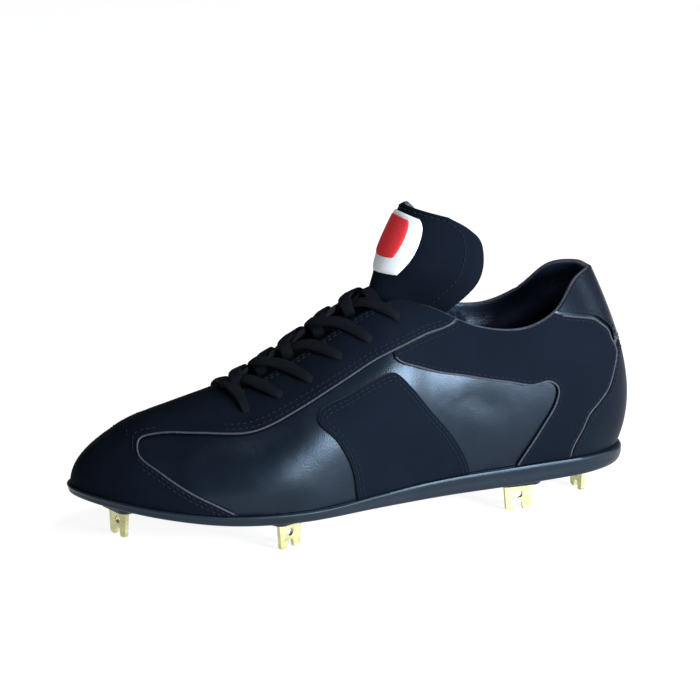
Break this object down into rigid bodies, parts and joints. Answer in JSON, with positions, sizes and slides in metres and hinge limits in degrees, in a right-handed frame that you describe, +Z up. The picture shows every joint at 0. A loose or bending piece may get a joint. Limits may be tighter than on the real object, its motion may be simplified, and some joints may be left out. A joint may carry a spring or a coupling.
{
  "type": "baseball cleat",
  "caption": "Low-cut baseball cleat for the left foot, with a hollow laced upper, upright tongue, moulded sole and metal blades under toe, ball and heel",
  "frame": {"origin": "on the floor, under the centre of the shoe's bounding box", "axes": "+X from heel to toe, +Y to the outer (left) side of the left shoe, +Z up from the floor"},
  "size_m": [0.2938, 0.0976, 0.1567],
  "materials": {
    "sole_black": "satin moulded sole plate",
    "gloss_navy": "smooth coated synthetic leather, glossy",
    "matte_navy": "matte microfibre synthetic leather, fine grain",
    "insole_black": "brushed fabric over foam",
    "lace_black": "flat woven cotton",
    "patch_white": "plain woven patch, no marking",
    "blade_brass": "satin plated metal plate"
  },
  "bodies": {
    "root": {"outsole": "sole_black", "upper": "gloss_navy", "insole": "insole_black", "vamp_overlay": "matte_navy", "saddle_outer": "matte_navy", "saddle_inner": "matte_navy", "quarter_outer": "matte_navy", "quarter_inner": "matte_navy", "heel_counter": "gloss_navy", "heel_tab": "gloss_navy", "tongue": "matte_navy", "tongue_patch": "patch_white", "laces": "lace_black", "blade_toe": "blade_brass", "blade_ball_outer": "blade_brass", "blade_ball_inner": "blade_brass", "blade_heel_outer": "blade_brass", "blade_heel_inner": "blade_brass", "blade_heel_back": "blade_brass"}
  },
  "joints": []
}
